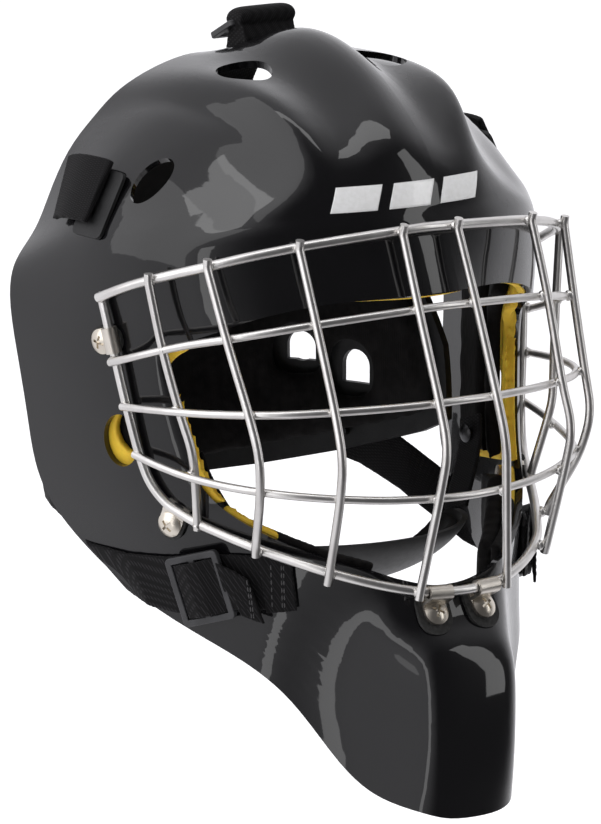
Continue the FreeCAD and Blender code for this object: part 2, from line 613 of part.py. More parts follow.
def crown_rear():
    """The crown strap's rear stretch, whose rolled hem is what the back plate swings about."""
    strap = free_strap(CROWN_REAR, CROWN_NORMALS, CROWN_WIDTH)
    start = at(-CROWN_WIDTH / 2, *CROWN_HEM)
    hem = Part.makeCylinder(CROWN_HEM_RADIUS, CROWN_WIDTH, start, Vector(1, 0, 0))
    return strap.fuse(hem).removeSplitter()


def on_crest(shape):
    """Put a flat shape in the fold of the crown strap, sloping with the crest behind its top."""
    return placed(shape, at(*CROWN_BUCKLE), Vector(0, 0.45, 0.89), Vector(0, 1, -0.5))


def chin_sling():
    """The webbing from the cup to its snap, with a hole for the snap's shank."""
    sling = ribbon([at(*point) for point in SLING], SLING_NORMALS, SLING_WIDTH, STRAP)
    hole = Part.makeCylinder(SNAP_SHANK + 0.08, 30, at(*SLING_SNAP) - Vector(15, 0, 0), Vector(1, 0, 0))
    return sling.cut(hole)


def rivet(base, normal, height=1.6, shank=6.0):
    """A domed rivet whose head stands on base and whose shank goes in along the normal."""
    head = Part.makeSphere(6.0, Vector(0, 0, height - 6.0)).common(Part.makeCylinder(4, 3))
    body = head.fuse(Part.makeCylinder(SNAP_SHANK, shank, Vector(0, 0, -shank)))
    return placed(body.removeSplitter(), base, normal, Vector(0.3, 1, 0.2))


# ---------------------------------------------------------------- back plate
PLATE_CENTRE = (0, 150, -10)
PLATE_RADII = (92, 118, 135)
PLATE_THICKNESS = 3.0
PLATE_PAD = 7.0
# Outline of the back plate from the side: distance behind the prow and height, from the front
# lower corner round the back to the tab at the crown.
PLATE_OUTLINE = [(142, -23), (160, -31), (206, -45.5), (236, -54), (275, -63), (275, 60), (255, 100),
                 (215, 128), (173, 128), (177, 119), (186, 108), (193, 88), (180, 60), (158, 40), (144, 10)]
TAB_HALF_WIDTH = 30.0
TAB_FOOT = 94.0                         # the plate narrows to the tab above this height
# Holes in the back plate: distance behind the prow, height of the floor, width, height and tilt.
PLATE_HOLES = [(225, -6.5, 13.5, 13.0, 15), (200, -14.5, 14.5, 15.0, 40)]
PAD_MARGIN = 3.5                        # the pad's holes are larger all round


def ellipsoid(centre, radii, shrink):
    scale = FreeCAD.Matrix()
    scale.scale(*[radius - shrink for radius in radii])
    scale.move(at(*centre))
    return Part.makeSphere(1.0).transformGeometry(scale)


def side_prism(outline, inset=0.0):
    """The outline seen from the side, drawn out across the whole head."""
    middle = Vector(-100, 230 - PROW_AHEAD, 40 - PROW_BELOW)
    points = []
    for behind, above in outline:
        point = at(-100, behind, above)
        points.append(point - (point - middle).normalize() * inset)
    return Part.Face(Part.makePolygon(points + points[:1])).extrude(Vector(200, 0, 0))


def plate_hole(behind, floor, width, height, tilt, margin, side):
    """A D-shaped cutter square to the back plate, round on top and flat below."""
    radius = width / 2
    floor_plate = Part.makeBox(width + 2 * margin, height - radius + margin, 40,
                               Vector(-radius - margin, -height / 2 - margin, -20))
    crown = Part.makeCylinder(radius + margin, 40, Vector(0, height / 2 - radius, -20))
    cutter = floor_plate.fuse(crown).rotate(Vector(0, 0, 0), Vector(0, 0, 1), side * tilt)
    return placed(cutter, *on_plate(behind, floor + height / 2, side), Vector(0, 0, 1))


def plate_layer(near, far, inset, margin):
    """One layer of the back plate between two depths inside its outer face."""
    outer = ellipsoid(PLATE_CENTRE, PLATE_RADII, near)
    inner = ellipsoid(PLATE_CENTRE, PLATE_RADII, far)
    layer = outer.cut(inner).common(side_prism(PLATE_OUTLINE, inset))
    for side in (-1, 1):
        start = TAB_HALF_WIDTH - inset if side > 0 else -TAB_HALF_WIDTH + inset - 100
        layer = layer.cut(Part.makeBox(100, 240, 100, at(start, 100, TAB_FOOT - inset)))
        for hole in PLATE_HOLES:
            layer = layer.cut(plate_hole(*hole, margin, side))
    return max(layer.Solids, key=lambda solid: solid.Volume)


def on_plate(behind, above, side):
    """A place on the outer face of the back plate and the outward normal there."""
    across, along, up = PLATE_RADII
    y = (behind - PLATE_CENTRE[1]) / along
    z = (above - PLATE_CENTRE[2]) / up
    x = side * across * math.sqrt(max(0.0, 1 - y * y - z * z))
    return at(x, behind, above), Vector(x / across ** 2, y / along, z / up).normalize()


# ---------------------------------------------------------------- chin cup in its sling
CUP_CENTRE = (0, 100, -38)
CUP_RADII = (64.6, 49.5, 38.0)
CUP_TOP = -50.8
CUP_REAR = 100.0
SLING_SNAP = (68.5, 101, -20)           # on the axis that the cup swings about
SNAP_SHANK = 1.6
SLING = [(56.5, 92, -49.5), (64, 96, -35), (70.3, 100.5, -21), (72, 103, -13)]
SLING_NORMALS = [Vector(0.9, -0.1, -0.5), Vector(0.9, -0.1, -0.4),
                 Vector(0.97, -0.1, -0.3), Vector(0.98, -0.1, -0.2)]
SLING_WIDTH = 16.0


def cup_layer(near, far, lower):
    """One layer of the chin cup: the lower front quarter of an egg-shaped shell."""
    outer = ellipsoid(CUP_CENTRE, CUP_RADII, near)
    inner = ellipsoid(CUP_CENTRE, CUP_RADII, far)
    quarter = Part.makeBox(160, CUP_REAR - 20, 60, at(-80, 20, CUP_TOP - lower - 60))
    return outer.cut(inner).common(quarter)


# ---------------------------------------------------------------- output
os.makedirs("parts", exist_ok=True)


def save(name, shape):
    shape.exportStep("parts/" + name + ".step")
    state = "" if shape.isValid() else "NOT VALID"
    print(name, len(shape.Solids), round(shape.Volume / 1000, 2), "cm3", state)


def save_pair(name, shape):
    """The same piece on the wearer's left and, mirrored, on the right."""
    save(name + "_left", shape)
    save(name + "_right", mirrored(shape))


save("shell", make_shell())
save("cage_top_wire", rod(both_sides(TOP_WIRE), FRAME_WIRE))
save("cage_upper_wire", rod(both_sides(UPPER_WIRE), CROSS_WIRE))
save("cage_middle_wire", rod(both_sides(MIDDLE_WIRE), CROSS_WIRE))
save("cage_lower_wire", rod(both_sides(LOWER_WIRE), CROSS_WIRE))
save("cage_rim_wire", rod(both_sides(RIM_WIRE[::-1]), FRAME_WIRE))
save("cage_uprights", make_uprights())
save("cage_clips", group(all_clips(make_clip, CLIPS)))
save("clip_screws", group(all_clips(make_screw, CLIPS)))
save("clip_nuts", group(all_clips(make_nut, CLIPS)))
save("clip_rubbers", group(all_clips(make_rubber, CLIPS)))

foam_cutters = []
for clip, direction in CLIPS:
    base, normal, ahead, reach, height = clip_frame(clip, direction)
    foam_cutters.append(Part.makeCylinder(7.2, 12, base - normal * 12, normal))
foam_cutters = group(foam_cutters + [mirrored(cutter) for cutter in foam_cutters])
for name, sizes in CENTRE_FOAM.items():
    save(name, pad(*sizes, sections=17).cut(foam_cutters))
window_base, window_normal = foot(at(*CHEEK_WINDOW))
window = Part.makeCylinder(9.5, 10, window_base - window_normal * 9.6, window_normal)
for name, sizes in SIDE_FOAM.items():
    foam = pad(*sizes).cut(foam_cutters)
    save_pair(name, foam.cut(window) if name == "side_foam" else foam)

save_pair("jaw_strap", jaw_strap())
save_pair("jaw_strap_rear", jaw_strap_rear())
save_pair("jaw_buckle", on_buckle(buckle_frame(*BUCKLE_SIZE, PLASTIC)))
save_pair("jaw_strap_loop", on_buckle(strap_loop()))
save_pair("jaw_strap_tail", strap_tail())
save_pair("jaw_patch", jaw_patch())
save_pair("upper_strap", upper_fold())
save_pair("upper_anchor", upper_anchor())
save_pair("upper_strap_inside", free_strap(UPPER_INSIDE, UPPER_NORMALS, 22))
save_pair("upper_strap_rear", free_strap(UPPER_REAR, UPPER_NORMALS, 22))
save("crown_strap", crown_fold())
save("crown_buckle", on_crest(buckle_frame(33, 18, 3, PLASTIC)))
save("crown_strap_rear", crown_rear())

save("backplate", plate_layer(0, PLATE_THICKNESS, 0, 0))
save("backplate_pad", plate_layer(PLATE_THICKNESS + 0.3, PLATE_THICKNESS + PLATE_PAD, 6, PAD_MARGIN))
plate_rivets = [rivet(*on_plate(behind, above, side)) for side in (-1, 1)
                for behind, above in ((203, -37), (200, 70))]
save("backplate_rivets", group(plate_rivets))

save("chin_cup", cup_layer(0, 2.4, 0))
save("chin_cup_lining", cup_layer(2.7, 6, 1.5))
save_pair("chin_sling", chin_sling())
snap = rivet(at(*SLING_SNAP), Vector(-1, 0, 0), shank=8.0)
save("sling_snaps", group([snap, mirrored(snap)]))
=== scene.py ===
import math

import bmesh
import bpy
from mathutils import Matrix, Vector
from mathutils.bvhtree import BVHTree


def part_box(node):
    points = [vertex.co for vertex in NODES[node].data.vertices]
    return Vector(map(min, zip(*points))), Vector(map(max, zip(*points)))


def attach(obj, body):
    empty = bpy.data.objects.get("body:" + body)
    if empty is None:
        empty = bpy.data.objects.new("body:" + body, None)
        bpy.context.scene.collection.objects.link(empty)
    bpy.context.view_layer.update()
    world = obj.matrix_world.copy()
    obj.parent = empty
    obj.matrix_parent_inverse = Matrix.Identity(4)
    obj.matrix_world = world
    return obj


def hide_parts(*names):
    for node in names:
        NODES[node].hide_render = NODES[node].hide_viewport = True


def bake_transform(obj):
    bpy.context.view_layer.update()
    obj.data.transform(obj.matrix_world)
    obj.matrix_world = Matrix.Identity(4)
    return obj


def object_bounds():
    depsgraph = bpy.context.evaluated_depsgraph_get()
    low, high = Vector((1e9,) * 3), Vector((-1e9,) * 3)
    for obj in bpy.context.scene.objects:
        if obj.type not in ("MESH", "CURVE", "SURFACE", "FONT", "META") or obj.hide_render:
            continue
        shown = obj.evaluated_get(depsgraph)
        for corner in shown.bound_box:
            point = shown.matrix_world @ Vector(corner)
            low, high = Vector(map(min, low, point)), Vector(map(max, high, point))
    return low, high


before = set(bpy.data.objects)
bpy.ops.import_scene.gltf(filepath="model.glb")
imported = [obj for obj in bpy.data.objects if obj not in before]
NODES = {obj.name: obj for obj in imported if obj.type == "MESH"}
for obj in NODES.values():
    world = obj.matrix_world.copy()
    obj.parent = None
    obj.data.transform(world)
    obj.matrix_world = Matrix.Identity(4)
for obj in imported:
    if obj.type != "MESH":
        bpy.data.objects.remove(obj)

CAD_BOX = [list(corner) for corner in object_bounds()]
SIDES = ("left", "right")
MM = 0.001


# ---------------------------------------------------------------- materials
def new_material(name, colour, roughness, metallic=0.0, **sockets):
    """A Principled material; returns it with its node tree, shader and object coordinates."""
    material = bpy.data.materials.new(name)
    material.use_nodes = True
    tree = material.node_tree
    shader = tree.nodes["Principled BSDF"]
    shader.inputs["Base Color"].default_value = (*colour, 1)
    shader.inputs["Roughness"].default_value = roughness
    shader.inputs["Metallic"].default_value = metallic
    for socket, value in sockets.items():
        shader.inputs[socket.replace("_", " ")].default_value = value
    coords = tree.nodes.new("ShaderNodeTexCoord").outputs["Object"]
    return material, tree, shader, coords


def noise(tree, coords, scale, detail=3.0, stretch=(1, 1, 1), rotation=(0, 0, 0)):
    mapping = tree.nodes.new("ShaderNodeMapping")
    mapping.inputs["Scale"].default_value = stretch
    mapping.inputs["Rotation"].default_value = rotation
    texture = tree.nodes.new("ShaderNodeTexNoise")
    texture.inputs["Scale"].default_value = scale
    texture.inputs["Detail"].default_value = detail
    tree.links.new(coords, mapping.inputs["Vector"])
    tree.links.new(mapping.outputs["Vector"], texture.inputs["Vector"])
    return texture.outputs["Fac"]


def wave(tree, coords, scale, rotation):
    mapping = tree.nodes.new("ShaderNodeMapping")
    mapping.inputs["Rotation"].default_value = rotation
    texture = tree.nodes.new("ShaderNodeTexWave")
    texture.inputs["Scale"].default_value = scale
    texture.inputs["Distortion"].default_value = 0.6
    texture.inputs["Detail"].default_value = 1.0
    texture.inputs["Detail Scale"].default_value = 2.0
    tree.links.new(coords, mapping.inputs["Vector"])
    tree.links.new(mapping.outputs["Vector"], texture.inputs["Vector"])
    return texture.outputs["Fac"]


def spread(tree, value, low, high):
    """Map a 0 to 1 value to the range from low to high."""
    node = tree.nodes.new("ShaderNodeMapRange")
    node.inputs["To Min"].default_value = low
    node.inputs["To Max"].default_value = high
    tree.links.new(value, node.inputs["Value"])
    return node.outputs["Result"]


def multiply(tree, first, second):
    node = tree.nodes.new("ShaderNodeMath")
    node.operation = "MULTIPLY"
    tree.links.new(first, node.inputs[0])
    tree.links.new(second, node.inputs[1])
    return node.outputs["Value"]


def tint(tree, shader, value, dark, light):
    """Colour the surface between dark and light by a 0 to 1 value."""
    ramp = tree.nodes.new("ShaderNodeValToRGB")
    ramp.color_ramp.elements[0].position = 0.3
    ramp.color_ramp.elements[1].position = 0.7
    ramp.color_ramp.elements[0].color = (*dark, 1)
    ramp.color_ramp.elements[1].color = (*light, 1)
    tree.links.new(value, ramp.inputs["Fac"])
    tree.links.new(ramp.outputs["Color"], shader.inputs["Base Color"])


def bump(tree, shader, height, distance, strength):
    node = tree.nodes.new("ShaderNodeBump")
    node.inputs["Strength"].default_value = strength
    node.inputs["Distance"].default_value = distance
    tree.links.new(height, node.inputs["Height"])
    tree.links.new(node.outputs["Normal"], shader.inputs["Normal"])


def lacquer():
    """Black shell under clear lacquer, with faint orange peel and uneven gloss."""
    material, tree, shader, coords = new_material(
        "lacquer_black", (0.003, 0.003, 0.0035), 0.3,
        Coat_Weight=1.0, Coat_Roughness=0.035, Specular_IOR_Level=0.08)
    tint(tree, shader, noise(tree, coords, 18), (0.0025, 0.0023, 0.003), (0.004, 0.0038, 0.0045))
    tree.links.new(spread(tree, noise(tree, coords, 60, 6), 0.2, 0.45), shader.inputs["Roughness"])
    bump(tree, shader, noise(tree, coords, 260, 1), 0.00002, 0.3)
    return material


def steel(name, light, dark, smooth, rough, grain):
    """Metal with drawn or brushed grain and slight colour changes."""
    material, tree, shader, coords = new_material(name, light, rough, 1.0)
    tint(tree, shader, noise(tree, coords, 90, 4), dark, light)
    tree.links.new(spread(tree, noise(tree, coords, 240, 5), smooth, rough), shader.inputs["Roughness"])
    bump(tree, shader, noise(tree, coords, 900, 3, grain), 0.00004, 0.5)
    return material


def plastic(name, colour, rough, pores, depth):
    """Moulded plastic with a spark-eroded surface."""
    material, tree, shader, coords = new_material(name, colour, rough)
    lighter = tuple(channel * 1.5 + 0.003 for channel in colour)
    tint(tree, shader, noise(tree, coords, 120, 4), colour, lighter)
    uneven = spread(tree, noise(tree, coords, 400, 4), rough - 0.08, rough + 0.12)
    tree.links.new(uneven, shader.inputs["Roughness"])
    bump(tree, shader, noise(tree, coords, pores, 2), depth, 0.6)
    return material


def rubber():
    material, tree, shader, coords = new_material("rubber_black", (0.012, 0.012, 0.012), 0.75)
    tint(tree, shader, noise(tree, coords, 700, 4), (0.008, 0.008, 0.008), (0.03, 0.029, 0.028))
    bump(tree, shader, noise(tree, coords, 900, 6), 0.0003, 0.8)
    return material


def yellow_foam():
    """Closed-cell foam: soft pores, a little wear and light that sinks in."""
    material, tree, shader, coords = new_material(
        "foam_yellow", (0.66, 0.42, 0.02), 0.7, Subsurface_Weight=0.15, Subsurface_Scale=0.004)
    tint(tree, shader, noise(tree, coords, 130, 6), (0.56, 0.35, 0.014), (0.74, 0.49, 0.03))
    tree.links.new(spread(tree, noise(tree, coords, 300, 4), 0.6, 0.85), shader.inputs["Roughness"])
    bump(tree, shader, noise(tree, coords, 2200, 4), 0.00012, 0.5)
    return material


def cloth_with_painted_shade():
    """Black lining cloth with a short nap over the comfort foam; its base colour is darkened below the
    cloth's own black as painted shade for the inside of the mask.
    """
    material, tree, shader, coords = new_material(
        "cloth_black_painted_shade", (0.004, 0.003, 0.003), 0.8,
        Sheen_Weight=0.03, Sheen_Roughness=0.5, Specular_IOR_Level=0.12)
    tint(tree, shader, noise(tree, coords, 260, 6), (0.0022, 0.0018, 0.0018), (0.007, 0.006, 0.006))
    knit = multiply(tree, wave(tree, coords, 320, (0, 0, 0.8)), wave(tree, coords, 320, (0.8, 0, 0)))
    bump(tree, shader, knit, 0.00012, 0.5)
    return material


def elastic():
    """Black woven elastic: diagonal ribs crossed by finer picks."""
    material, tree, shader, coords = new_material(
        "elastic_black", (0.008, 0.0075, 0.008), 0.75,
        Sheen_Weight=0.05, Sheen_Roughness=0.4, Specular_IOR_Level=0.16)
    ribs = wave(tree, coords, 400, (0.75, 0.25, 0.5))
    picks = wave(tree, coords, 450, (-0.7, 0.1, -0.4))
    weave = multiply(tree, ribs, picks)
    tint(tree, shader, weave, (0.0035, 0.0032, 0.0036), (0.015, 0.014, 0.0155))
    bump(tree, shader, weave, 0.00018, 0.7)
    return material


def ink():
    material, tree, shader, coords = new_material("decal_white", (0.86, 0.86, 0.85), 0.25, Coat_Weight=0.6)
    tint(tree, shader, noise(tree, coords, 500, 5), (0.8, 0.8, 0.79), (0.88, 0.88, 0.88))
    return material


def thread():
    material, tree, shader, coords = new_material(
        "thread_black", (0.035, 0.034, 0.036), 0.6, Sheen_Weight=0.3)
    tint(tree, shader, noise(tree, coords, 2500, 2), (0.025, 0.024, 0.026), (0.06, 0.058, 0.06))
    bump(tree, shader, wave(tree, coords, 1400, (0.6, 0.6, 0)), 0.0001, 0.6)
    return material


LACQUER = lacquer()
WIRE = steel("wire_steel", (0.86, 0.845, 0.825), (0.72, 0.70, 0.68), 0.22, 0.42, (1, 1, 0.2))
CLIP = steel("clip_steel", (0.82, 0.775, 0.71), (0.64, 0.60, 0.54), 0.26, 0.46, (0.2, 1, 1))
SCREW = steel("screw_nickel", (0.85, 0.79, 0.69), (0.66, 0.60, 0.52), 0.2, 0.4, (1, 1, 1))
DARK_METAL = steel("metal_black", (0.10, 0.10, 0.105), (0.05, 0.05, 0.052), 0.3, 0.5, (1, 1, 1))
BUCKLE = plastic("buckle_plastic", (0.022, 0.022, 0.024), 0.42, 1800, 0.00005)
# plate plastic: black, and darkened further as painted shade for the inside of the mask and the shaded upper
# anchors
PLATE = plastic("plate_plastic_painted_shade", (0.006, 0.006, 0.0065), 0.5, 900, 0.00012)
CUP = plastic("cup_plastic", (0.014, 0.0135, 0.0135), 0.42, 1300, 0.00006)
RUBBER = rubber()
YELLOW = yellow_foam()
# the lining cloth: black, and darkened further as painted shade for the inside of the mask
CLOTH = cloth_with_painted_shade()
ELASTIC = elastic()
INK = ink()
THREAD = thread()

CAD_MATERIALS = {
    "shell": LACQUER,
    "cage_top_wire": WIRE,
    "cage_upper_wire": WIRE,
    "cage_middle_wire": WIRE,
    "cage_lower_wire": WIRE,
    "cage_rim_wire": WIRE,
    "cage_uprights": WIRE,
    "cage_clips": CLIP,
    "clip_screws": SCREW,
    "clip_nuts": SCREW,
    "clip_rubbers": RUBBER,
    "backplate_rivets": DARK_METAL,
    "sling_snaps": DARK_METAL,
    "crown_buckle": BUCKLE,
    "jaw_buckle_left": BUCKLE,
    "jaw_buckle_right": BUCKLE,
    # the upper anchors take the plate plastic for its painted shade, as they lie in shadow
    "upper_anchor_left": PLATE,
    "upper_anchor_right": PLATE,
    "backplate": PLATE,
    "chin_cup": CUP,
}
for node_name, finish in CAD_MATERIALS.items():
    mesh = NODES[node_name].data
    mesh.materials.clear()
    mesh.materials.append(finish)


# ---------------------------------------------------------------- mesh helpers
def add_object(name, mesh, material):
    piece = bpy.data.objects.new(name, mesh)
    bpy.context.scene.collection.objects.link(piece)
    mesh.materials.clear()
    mesh.materials.append(material)
    mesh.polygons.foreach_set("use_smooth", [True] * len(mesh.polygons))
    return piece


def from_bmesh(name, shape, material):
    mesh = bpy.data.meshes.new(name)
    shape.to_mesh(mesh)
    shape.free()
    return add_object(name, mesh, material)


def freeze(piece):
    """Apply every modifier of a piece to its mesh."""
    settled = piece.evaluated_get(bpy.context.evaluated_depsgraph_get())
    mesh = bpy.data.meshes.new_from_object(settled)
    piece.modifiers.clear()
    piece.data = mesh
    mesh.polygons.foreach_set("use_smooth", [True] * len(mesh.polygons))


def tree_of(node):
    """A search tree over a node's surface."""
    shape = bmesh.new()
    shape.from_mesh(node.data)
    found = BVHTree.FromBMesh(shape)
    shape.free()
    return found


def bridge_hull(shape, first, second, reach):
    """Fill the gap between two pieces with the hull of their facing ends."""
    near_first = [v for v in first if min((v.co - w.co).length for w in second) < reach]
    near_second = [w for w in second if min((v.co - w.co).length for v in first) < reach]
    corners = [shape.verts.new(v.co) for v in near_first + near_second]
    hull = bmesh.ops.convex_hull(shape, input=corners)
    loose = [part for part in hull["geom_interior"] if isinstance(part, bmesh.types.BMVert)]
    bmesh.ops.delete(shape, geom=loose, context="VERTS")


def even_out(piece, voxel, rounds):
    """Remesh a piece evenly, fusing what overlaps, and round its edges."""
    remesh = piece.modifiers.new("even", "REMESH")
    remesh.mode = "VOXEL"
    remesh.voxel_size = voxel
    smooth = piece.modifiers.new("round", "SMOOTH")
    smooth.factor = 0.5
    smooth.iterations = rounds
    freeze(piece)


def soft_copy(name, nodes, material, voxel, rounds, bridge=None):
    """One soft piece in the place of CAD nodes: joined, remeshed evenly and rounded at its edges."""
    shape = bmesh.new()
    groups = []
    for node in nodes:
        before = len(shape.verts)
        shape.from_mesh(NODES[node].data)
        shape.verts.ensure_lookup_table()
        groups.append(shape.verts[before:])
    if bridge:
        bridge_hull(shape, groups[0], groups[1], bridge)
    bmesh.ops.remove_doubles(shape, verts=shape.verts, dist=0.00001)
    piece = from_bmesh(name, shape, material)
    even_out(piece, voxel, rounds)
    return piece


CLOTH_PRESSURE = 4
CLOTH_FRAMES = 20


def swell(piece, cap):
    """Blow a closed pad up as cloth from a smaller start, with no point moving further than the cap."""
    shrink = cap * 0.7
    mesh = piece.data
    for vertex, normal in zip(mesh.vertices, [n.vector.copy() for n in mesh.vertex_normals]):
        vertex.co -= normal * shrink
    start = [vertex.co.copy() for vertex in mesh.vertices]
    cloth = piece.modifiers.new("cloth", "CLOTH")
    cloth.settings.quality = 5
    cloth.settings.use_pressure = True
    cloth.settings.uniform_pressure_force = CLOTH_PRESSURE
    cloth.settings.effector_weights.gravity = 0
    cloth.point_cache.frame_start = 1
    cloth.point_cache.frame_end = CLOTH_FRAMES
    for step in range(1, CLOTH_FRAMES + 1):
        bpy.context.scene.frame_set(step)
    freeze(piece)
    for vertex, before in zip(piece.data.vertices, start):
        moved = vertex.co - before
        if moved.length > cap:
            vertex.co = before + moved * (cap / moved.length)
    bpy.context.scene.frame_set(1)


# ---------------------------------------------------------------- foam and pads
def pad(name, material, body, voxel=2.2 * MM, rounds=6, puff=0.0):
    """A foam piece in the place of the CAD node of the same name; puff blows its cover up."""
    piece = soft_copy(name + "_soft", [name], material, voxel, rounds)
    if puff:
        swell(piece, puff)
    subdivide = piece.modifiers.new("finer", "SUBSURF")
    subdivide.levels = 1
    subdivide.render_levels = 1
    freeze(piece)
    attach(piece, body)
    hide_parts(name)
    return piece


BLACK_SHARE = 0.58                      # of a jaw foam's run across, from the chin outwards


def blacken_front(piece):
    """Make the part of a jaw foam that runs in to the chin black, in the lining cloth whose colour carries
    painted shade.
    """
    reaches = [abs(vertex.co.x) for vertex in piece.data.vertices]
    edge = min(reaches) + (max(reaches) - min(reaches)) * BLACK_SHARE
    piece.data.materials.append(CLOTH)
    for polygon in piece.data.polygons:
        polygon.material_index = int(abs(polygon.center.x) < edge)


pad("brow_foam", YELLOW, "shell", voxel=1 * MM, rounds=4)
pad("sweatband", CLOTH, "shell", puff=1.2 * MM)
pad("crown_pad", CLOTH, "shell", puff=1.2 * MM)
pad("chin_pad", CLOTH, "shell", voxel=1.2 * MM, rounds=3)
pad("backplate_pad", CLOTH, "backplate", voxel=3 * MM, puff=1.5 * MM)
pad("chin_cup_lining", CLOTH, "chin_cup", voxel=1.2 * MM, rounds=4)
for side in SIDES:
    pad("side_foam_" + side, YELLOW, "shell", voxel=1 * MM, rounds=6)
    jaw_foam = pad("jaw_foam_" + side, YELLOW, "shell", voxel=0.9 * MM, rounds=6)
    blacken_front(jaw_foam)
    pad("side_pad_" + side, CLOTH, "shell", puff=0.8 * MM)
    pad("rear_pad_" + side, CLOTH, "shell", puff=0.8 * MM)
    pad("jaw_pad_" + side, CLOTH, "shell", puff=0.8 * MM)


# ---------------------------------------------------------------- straps
def strap(name, nodes, body, rounds=8, voxel=0.6 * MM, bridge=None):
    """An elastic strap in the place of CAD nodes; with no body it is left unattached."""
    piece = soft_copy(name, nodes, ELASTIC, voxel, rounds, bridge)
    if body:
        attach(piece, body)
    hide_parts(*nodes)
    return piece


def across_joint(piece):
    """Bake the placement of a strap that runs from the shell to the back plate into its mesh."""
    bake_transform(piece)


for side in SIDES:
    for name, front, rear in (("jaw_strap", "jaw_strap_", "jaw_strap_rear_"),
                              ("upper_strap", "upper_strap_inside_", "upper_strap_rear_")):
        whole = strap(name + "_whole_" + side, [front + side, rear + side], None, bridge=8 * MM)
        across_joint(whole)
    strap("upper_strap_fold_" + side, ["upper_strap_" + side], "shell", rounds=10)
    strap("jaw_tail_soft_" + side, ["jaw_strap_loop_" + side, "jaw_strap_tail_" + side],
          "buckle_" + side, rounds=6, voxel=0.5 * MM, bridge=7 * MM)
    strap("sling_soft_" + side, ["chin_sling_" + side], "chin_cup", rounds=4, voxel=0.5 * MM)
    patch = soft_copy("jaw_patch_soft_" + side, ["jaw_patch_" + side], ELASTIC, 0.4 * MM, 3)
    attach(patch, "shell")
    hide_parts("jaw_patch_" + side)


ROLL_HALF_LENGTH = 6.8 * MM
ROLL_HALF_HEIGHT = 5.2 * MM
ROLL_SLOPE = -0.12                      # the roll leans back and down with the crest
ROLL_SQUARENESS = 0.85                  # the power of its section: 1 is an oval
ROLL_RINGS = 40
ROLL_POINTS = 72
STAND_FRONT = 9 * MM                    # how far the stand reaches in front of the strap's middle
STAND_REAR = 7 * MM
STAND_COLUMNS = 16
STAND_ROWS = 12


def squared(value):
    return math.copysign(abs(value) ** ROLL_SQUARENESS, value)


def add_roll(shape, half_width, centre_y, centre_z):
    """Rounded rings from one side to the other, with the step of the strap's end."""
    loops = []
    for i in range(ROLL_RINGS + 1):
        across = -1 + 2 * i / ROLL_RINGS
        end_round = max(0.0, 1 - abs(across) ** 7) ** 0.4
        loop = []
        for k in range(ROLL_POINTS):
            angle = 2 * math.pi * k / ROLL_POINTS
            lap = 1 - 0.1 * ((angle / (2 * math.pi) + 0.3) % 1)
            y = ROLL_HALF_LENGTH * squared(math.cos(angle)) * lap
            z = ROLL_HALF_HEIGHT * squared(math.sin(angle)) * lap
            y *= 0.82 + 0.18 * end_round
            z *= 0.3 + 0.7 * end_round
            loop.append(shape.verts.new((across * half_width, centre_y + y, centre_z + z + ROLL_SLOPE * y)))
        loops.append(loop)
    for one, other in zip(loops, loops[1:]):
        for k in range(ROLL_POINTS):
            shape.faces.new((one[k], one[k - 1], other[k - 1], other[k]))
    shape.faces.new(loops[0][::-1])
    shape.faces.new(loops[-1])


def add_stand(shape, half_width, middle_y, centre_y, centre_z):
    """The strap's neck, from inside the roll down onto the crest of the shell."""
    surface = tree_of(NODES["shell"])
    under, over = [], []
    for row in range(STAND_ROWS + 1):
        y = middle_y - STAND_FRONT + (STAND_FRONT + STAND_REAR) * row / STAND_ROWS
        under.append([])
        over.append([])
        for column in range(STAND_COLUMNS + 1):
            x = (2 * column / STAND_COLUMNS - 1) * half_width
            place = surface.ray_cast(Vector((x, y, 0.2)), Vector((0, 0, -1)))[0]
            under[-1].append(shape.verts.new(place + Vector((0, 0, -0.3 * MM))))
            over[-1].append(shape.verts.new((x, centre_y + (y - centre_y) * 0.55, centre_z)))
    for row in range(STAND_ROWS):
        for i in range(STAND_COLUMNS):
            shape.faces.new((under[row][i], under[row + 1][i], under[row + 1][i + 1], under[row][i + 1]))
            shape.faces.new((over[row][i], over[row][i + 1], over[row + 1][i + 1], over[row + 1][i]))
        for i in (0, STAND_COLUMNS):
            shape.faces.new((under[row][i], over[row][i], over[row + 1][i], under[row + 1][i]))
    for row in (0, STAND_ROWS):
        for i in range(STAND_COLUMNS):
            shape.faces.new((under[row][i], under[row][i + 1], over[row][i + 1], over[row][i]))


def crown_roll():
    """The crown strap: a neck on the crest and, above it, the strap's end rolled up round the tri-glide."""
    low, high = (Vector(corner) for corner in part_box("crown_strap"))
    middle_y = (low.y + high.y) / 2
    half_width = (high.x - low.x) / 2 + 1.5 * MM
    centre_y = middle_y - 1 * MM
    centre_z = high.z - ROLL_HALF_HEIGHT - 0.5 * MM
    shape = bmesh.new()
    add_roll(shape, half_width, centre_y, centre_z)
    add_stand(shape, half_width - 1.2 * MM, middle_y, centre_y, centre_z)
    bmesh.ops.recalc_face_normals(shape, faces=shape.faces)
    roll = from_bmesh("crown_roll", shape, ELASTIC)
    even_out(roll, 0.6 * MM, 3)
    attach(roll, "shell")
    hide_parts("crown_strap")


crown_roll()
strap("crown_rear_soft", ["crown_strap_rear"], "backplate", rounds=4, voxel=0.5 * MM)


# ---------------------------------------------------------------- stitches
STITCH_LENGTH = 1.9 * MM
STITCH_GAP = 0.9 * MM
THREAD_RADIUS = 0.26 * MM


